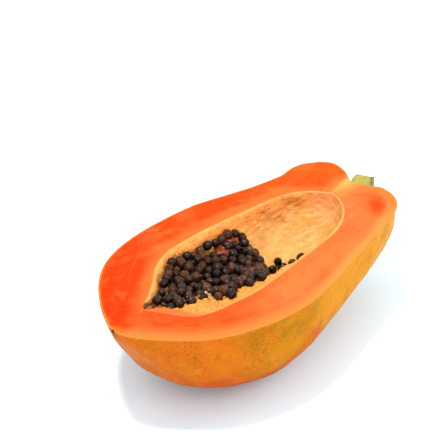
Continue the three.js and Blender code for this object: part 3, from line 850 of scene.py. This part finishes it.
def build_face(skin_rows, lining_rows):
    """The cut through the flesh: a band on the far side and a band on the near one, in one mesh."""
    w = 0.5 - 0.5 * np.cos(np.pi * np.linspace(0, 1, ROWS["face"] + 1))[:, None]
    # Two grids, the far side's and the near side's, each from the skin to the hollow.
    skins, hollows = (np.stack([rows[:, 0], rows[:, -1]])[:, :, None] for rows in (skin_rows, lining_rows))
    points = skins + (hollows - skins) * w
    skin_mm, hollow_mm = from_edges(points, skin_rows), from_edges(points, lining_rows)
    run = run_length(points[:, :, ROWS["face"] // 2], 1)
    calm = ease(0.2, 3, np.minimum(skin_mm, hollow_mm))
    points[..., 2] = calm * relief(points, "face") - bell(hollow_mm, EDGE_SINK)
    seam = distance_to(points, [skin_rows[0, 0], lining_rows[0, 0]])
    masks = {
        "skin_mm": skin_mm,
        "hollow_mm": hollow_mm,
        "run_mm": run[:, :, None] + 0 * skin_mm,
        "near_side": 0.5 + np.array([-0.5, 0.5])[:, None, None] * ease(0, 9, seam),
        "seam_mm": seam,
        "spoke_mm": distance_to(points, [skin_rows[-1, 0], lining_rows[-1, 0]]),
    }
    rows, columns = points.shape[1:3]
    faces = grid_faces(rows, columns, flip=True)
    faces += [[i + rows * columns for i in face] for face in grid_faces(rows, columns)]
    return mesh_piece("cut_face", points.reshape(-1, 3), faces, flesh_look(), masks, welded=True)


# ---------- The seeds ----------


def brow(y):
    return HEAP_BROW["x"] + np.where(y < HEAP["middle"], 1, HEAP_BROW["far_turn"]) * (y - HEAP["middle"])


def heap_top(x, y):
    far, near = (c["rate"] * (np.clip(x, c["from"], c["to"]) - c["from"]) for c in (FAR_CLIMB, NEAR_CLIMB))
    climb = np.where(y > HEAP["middle"], far, near)
    dish = (HEAP["dish"] + climb) * ((y - HEAP["middle"]) / HEAP["reach"]) ** 2
    fall = HEAP["slope"] * np.maximum(0, x - HEAP["from"]) + HEAP["steep"] * np.maximum(0, x - brow(y))
    return HEAP["top"] + dish - fall


def in_outline(x, y):
    inside = np.zeros(np.shape(x), bool)
    for (x1, y1), (x2, y2) in zip(HEAP_LOOP[1:], HEAP_LOOP):
        if y1 == y2:
            continue
        crosses = (y1 > y) != (y2 > y)
        inside ^= crosses & (x < (x2 - x1) * (y - y1) / (y2 - y1) + x1)
    return inside


def in_heap(x, y, clear=0):
    """Whether places lie within the heap's outline, this far clear of its bare spots."""
    good = in_outline(x, y)
    for bare_x, bare_y, radius in BARE_SPOTS:
        good &= np.hypot(x - bare_x, y - bare_y) >= radius + clear
    return good


def on_top(x, y, lift, room=SEED_ROOM):
    z = np.minimum(heap_top(x, y) + lift, HEAP["highest"])
    return keep_off(np.stack([x, y, z], -1), room)


def spread_out(tried, closest):
    """Those of the tried places that keep this far from the ones taken before them."""
    taken = []
    for place in tried:
        if not taken or norm(np.array(taken) - place, axis=1).min() >= closest:
            taken.append(place)
    return np.array(taken)


def heap_seed_places(apart):
    """The middles of the heap's seeds: those along its edge, then as many as find a place inside it."""
    draw = seeded_draw(HEAP_SEEDS["start"])
    edge = np.array(FAR_EDGE + BROW_EDGE + NEAR_EDGE, float)
    line = []
    for start, step in zip(edge, np.roll(edge, -1, axis=0) - edge):
        count = max(1, math.floor(math.hypot(*step) / HEAP_SEEDS["apart"] + 0.5))
        for i in range(count):
            aside = [most * (2 * next(draw) - 1) for most in HEAP_SEEDS["stray"]]
            line.append(np.array([*(start + step * (i / count)), 0]) + aside)
    darts = np.array([next(draw) for _ in range(3 * HEAP_SEEDS["tries"])]).reshape(-1, 3)
    x, y = (low + darts[:, i] * (high - low) for i, (low, high) in enumerate(HEAP_AREA))
    lift = (2 * darts[:, 2] - 1) * HEAP_SEEDS["stray"][2]
    tries = np.concatenate([line, np.stack([x, y, lift], -1)[in_heap(x, y)]])
    tried = on_top(*tries.T)
    tried = tried[tried[:, 2] <= heap_top(*tried[:, :2].T) + HEAP_SEEDS["tallest"]]
    for other in apart:
        tried = tried[norm(tried - other, axis=1) >= SEED["length"] * SEED["most"] + GAP]
    return spread_out(tried, HEAP_SEEDS["closest"])


def loose_places():
    x, y = np.transpose(LOOSE_SEEDS)

    def at(z):
        return np.stack([x, y, z], -1)

    z = bisect(0 * x - 50, 0 * x, lambda z: room_out(at(z)) < 0.5)
    return keep_off(at(z), SEED_ROOM)


def ball(level):
    """Points and faces of a unit ball."""
    bm = bmesh.new()
    bmesh.ops.create_icosphere(bm, subdivisions=level, radius=1.0)
    points = np.array([v.co[:] for v in bm.verts])
    faces = [[v.index for v in f.verts] for f in bm.faces]
    bm.free()
    return points, faces


def turned(points, tip, spin):
    matrix = np.array(Matrix.Rotation(spin, 3, "Z") @ Matrix.Rotation(tip, 3, "Y"))
    return points @ matrix.T


def seed_points(points, place, index):
    """A seed's points at its place; a skin that has dried a little folds over its hard ridges."""
    draw = seeded_draw(1000 + 37 * index)
    next(draw)
    spin, tip = 2 * math.pi * next(draw), math.acos(2 * next(draw) - 1)
    size = SEED["least"] + (SEED["most"] - SEED["least"]) * next(draw)
    around = np.arctan2(points[:, 2], points[:, 1])
    end = 1 - np.abs(points[:, 0]) ** 3
    bend = 1.1 * ripples(points, 2.2, index, 12)
    ridge = np.cos(8 * around + bend) * end
    lump = ripples(points, 1.5, index + 1000, 16)
    fold = np.exp(-((ripples(points, 0.9, index + 2000, 14) / 0.3) ** 2))
    out = 1 + 0.014 * ridge + 0.03 * lump - 0.04 * fold
    scale = np.array([SEED["length"], SEED["width"], SEED["width"]]) / 2 * size
    return turned(points * out[:, None] * scale, tip, spin) + place


def tone_piece(name, parts, material):
    """One piece from several parts, each with its points, its faces and its tone."""
    points, faces, tones = [], [], []
    for part_points, part_faces, tone in parts:
        faces += [[i + len(tones) for i in face] for face in part_faces]
        points.append(part_points)
        tones += [tone] * len(part_points)
    return mesh_piece(name, np.concatenate(points), faces, material, {"tone": tones})


def seeds_piece(name, places, first, level, material):
    """Seeds at these places, whose draws start at the index of the first."""
    base, faces = ball(level)
    parts = []
    for index, place in enumerate(places, first):
        tone = np.random.default_rng(index).uniform(0, 1)
        parts.append((seed_points(base, place, index), faces, tone))
    return tone_piece(name, parts, material)


def build_seeds():
    look = seed_look()
    apart = loose_places()
    places = heap_seed_places(apart)
    # More seeds below them, seen between them.
    draw = np.random.default_rng(19)
    tries = draw.uniform(*zip(*HEAP_AREA), (UNDER["tries"], 2))
    tries = tries[in_heap(*tries.T, UNDER["bare"])]
    tries = tries[distance_to(tries, HEAP_LOOP) > UNDER["seeds_in"]]
    below = spread_out(on_top(*tries.T, -UNDER["seeds_down"]), UNDER["closest"])
    heap = [
        seeds_piece("heap_seeds", places, 0, 3, look),
        seeds_piece("under_seeds", below, UNDER["index"], 2, look),
        pulp_piece(),
        scraps_piece(places),
    ]
    for piece in heap:
        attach(piece, "root")
        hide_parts("seed_heap")
    for i, place in enumerate(apart):
        piece = seeds_piece(f"seed_apart_{i + 1}", [place], LOOSE_INDEX + i, 4, look)
        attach(piece, "root")
        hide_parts(f"seed_loose_{i + 1}")


def pulp_piece():
    """The wet pulp that the seeds lie in, a little below them."""
    steps = (np.arange(low, high, UNDER["pulp_step"]) for low, high in HEAP_AREA)
    x, y = np.meshgrid(*steps, indexing="ij")
    z = np.minimum(heap_top(x - 2, y), HEAP["highest"]) - UNDER["pulp_down"]
    points = np.stack([x, y, z], -1)
    inside = in_outline(x, y) & (x > UNDER["from_x"]) & (distance_to(points, HEAP_LOOP) > UNDER["pulp_in"])
    points[..., 2] += relief(points, "pulp")
    points[inside] = keep_off(points[inside], 0.5)
    faces = np.array(grid_faces(*x.shape, flip=True))
    used, faces = np.unique(faces[inside.ravel()[faces].all(1)], return_inverse=True)
    faces = faces.reshape(-1, 4).tolist()
    pale = ease(8, 3, distance_to(points, NEAR_EDGE)).reshape(-1)[used]
    return mesh_piece("pulp", points.reshape(-1, 3)[used], faces, pulp_look(), {"pale": pale})


def tube(line, radii, sides=6):
    """Points and faces of a tube along a line, which closes to a point at both ends."""
    ahead = unit(np.gradient(line, axis=0))
    across = unit(np.cross(ahead, [0.3, 0.2, 1.0]))
    up = np.cross(ahead, across)
    angles = np.linspace(0, 2 * math.pi, sides, endpoint=False)[None, :, None]
    ring = np.cos(angles) * across[:, None] + np.sin(angles) * up[:, None]
    points = line[:, None] + ring * radii[:, None, None]
    return points.reshape(-1, 3), grid_faces(len(line), sides, closed=True)


def scraps_piece(places):
    """Torn seed skins, juice and threads: red in the heap's gap, brown by the wall, pale by the near edge."""
    draw = np.random.default_rng(31)
    base, base_faces = ball(3)
    parts = []

    def blob(place, size, tone):
        lumps = 1 + 0.09 * ripples(base, 1.1, int(draw.integers(1e6)), 14)
        squash = size * draw.uniform([0.8, 0.8, 0.45], [1.3, 1.3, 0.8])
        turn = draw.uniform(0, 2 * math.pi)
        parts.append((turned(base * lumps[:, None] * squash, 0.0, turn) + place, base_faces, tone))

    def thread(start, end, thick, tone):
        w = np.linspace(0, 1, 9)[:, None]
        line = start + (end - start) * w
        line = line + np.sin(np.pi * w) * draw.normal(size=3) * norm(end - start) * 0.1
        line = keep_off(line, 0.2)
        radii = thick * np.sin(np.pi * np.clip(w[:, 0], 0.03, 0.97)) ** 0.5
        parts.append((*tube(line, radii), tone))

    for x, y, reach in RED_JELLY["spots"]:
        at = [x, y] + draw.normal(size=(RED_JELLY["each"], 2)) * reach * 0.45
        for place in on_top(*at.T, draw.uniform(-4.4, -3.0, len(at)), 1.0):
            blob(place, draw.uniform(*RED_JELLY["size"]), RED)
    # Brown threads from the far edge's seeds to the wall.
    for start, end in zip(np.array(FAR_EDGE[2:]), FAR_EDGE[3:]):
        for _ in range(THREADS["brown"]):
            at = start + (end - start) * draw.uniform()
            away = at + draw.uniform([-2.5, 2], [2.5, 4])
            pair = on_top(*np.array([at, away]).T, draw.uniform(0, 3.5, 2), 0.25)
            thread(*pair, draw.uniform(0.12, 0.26), BROWN)
    # Pale scraps and threads between the near edge's seeds.
    tries = draw.uniform([42, -29], [104, -2], (900, 2))
    tries = tries[in_outline(*tries.T)]
    tries = tries[distance_to(tries, NEAR_EDGE) < THREADS["pale_reach"]]
    spots = on_top(*tries.T, draw.uniform(-1.5, 1.2, len(tries)), 0.8)
    clear = norm(spots[:, None] - places, axis=-1).min(1) > SEED["width"] * 0.47
    for place in spots[clear][:THREADS["pale"]]:
        blob(place, draw.uniform(0.7, 1.5), PALE)
    for place in spots[::9]:
        end = place + draw.normal(size=3) * [2.6, 2.6, 0.6]
        thread(place + [0, 0, 1.2], end + [0, 0, 1.2], draw.uniform(0.15, 0.3), PALE)
    # The dried strand in the tip of the hollow.
    thread(*TIP_STRAND, 1.5, BROWN)
    return tone_piece("seed_scraps", parts, jelly_look())


# ---------- The stalk ----------


def build_stalk():
    aim = unit(STALK_AIM)
    up = unit(np.array([0, 0, 1.0]) - aim * aim[2])
    side = np.cross(aim, up)
    tilt = Matrix.Rotation(STALK_CUT["tilt"], 3, Vector(unit(STALK_AIM * [1, 1, 0])))
    normal = np.array(tilt @ Vector((0, 0, 1)))
    on_cut = [*STALK_FOOT[:2], STALK_CUT["height"]]
    stations = np.concatenate([[0] * 3, np.linspace(0, 16, 60), [16] * 3])
    radii = table(STALK_OUTLINE[1:-1], stations)
    radii[:3] = [0, 1.2, 2.2]
    radii[-3:] = [4.0, 2.0, 0]
    # At each station: the bark round from one edge of the cut to the other, and back across the cut.
    middles = STALK_FOOT + aim * stations[:, None]
    over, aside = up @ normal, side @ normal
    reach = np.maximum(radii * math.hypot(over, aside), 1e-6)
    half = np.arccos(np.clip((on_cut - middles) @ normal / reach, -1, 1))[:, None]
    angles = math.atan2(aside, over) + half + 2 * (math.pi - half) * np.linspace(0, 1, 49)
    round_it = np.cos(angles)[..., None] * up + np.sin(angles)[..., None] * side
    bark = middles[:, None] + radii[:, None, None] * round_it
    flat = bark[:, -1:] + (bark[:, :1] - bark[:, -1:]) * np.linspace(0, 1, 25)[1:-1, None]
    points = np.concatenate([bark, flat], 1)
    on_bark = (np.arange(points.shape[1]) < bark.shape[1]) + 0 * points[..., 0]
    from_foot = points - STALK_FOOT
    masks = {"bark": on_bark, "far_mm": from_foot @ side, "along_mm": from_foot @ aim}
    # Grooves along the bark, and an uneven cut.
    grooves = ripples(np.stack([masks["along_mm"] * 0.25, masks["far_mm"], points[..., 2]], -1), 2.2, 41)
    middles = STALK_FOOT + masks["along_mm"][..., None] * aim
    points += unit(points - middles) * (on_bark * 0.14 * (grooves - 1))[..., None]
    points[..., 2] += (1 - on_bark) * 0.1 * ripples(points, 3, 42)
    piece = grid_piece("stalk_piece", points, stalk_look(), masks, closed=True)
    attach(piece, "root")
    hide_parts("stalk")


# ---------- The scene ----------


def build_room():
    look = Look("floor_white", 0.1)
    look.colour = FLOOR_COLOUR
    corners = FLOOR_REACH * np.array([[-1, -1, 0], [1, -1, 0], [1, 1, 0], [-1, 1, 0]])
    ground = mesh_piece("floor", corners - PLACE, [[0, 1, 2, 3]], look.done(0.8))
    world = bpy.data.worlds.new("room")
    bpy.context.scene.world = world
    world.use_nodes = True
    world.node_tree.nodes["Background"].inputs["Color"].default_value = (1, 1, 1, 1)


def add_light(name, place, size, power):
    lamp = bpy.data.lights.new(name, "AREA")
    lamp.shape = "DISK"
    lamp.size = size
    lamp.energy = power
    holder = new_object(name, lamp)
    holder.location = place
    holder.rotation_euler = (Vector(LIT) - Vector(place)).to_track_quat("-Z", "Y").to_euler()


def build_camera():
    azimuth, elevation, roll = (math.radians(CAMERA[k]) for k in ("azimuth", "elevation", "roll"))
    turn = Matrix.Rotation(azimuth, 4, "Z") @ Matrix.Rotation(math.pi / 2 - elevation, 4, "X")
    turn = turn @ Matrix.Rotation(-roll, 4, "Z")
    place = Vector(CAMERA["aim"]) + turn @ Vector(CAMERA["from_aim"]) + Vector(PLACE)
    camera = bpy.data.cameras.new("camera")
    camera.lens = CAMERA_FOCUS / FRAME_PIXELS * camera.sensor_width
    holder = new_object("camera", camera)
    holder.matrix_world = Matrix.Translation(place * MILLIMETRE) @ turn
    bpy.context.scene.camera = holder


build_camera()
build_room()
for light in LIGHTS:
    add_light(*light)
for half_piece in build_half():
    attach(half_piece, "root")
    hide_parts("fruit_half")
build_seeds()
build_stalk()
bpy.context.scene.view_settings.view_transform = "Standard"
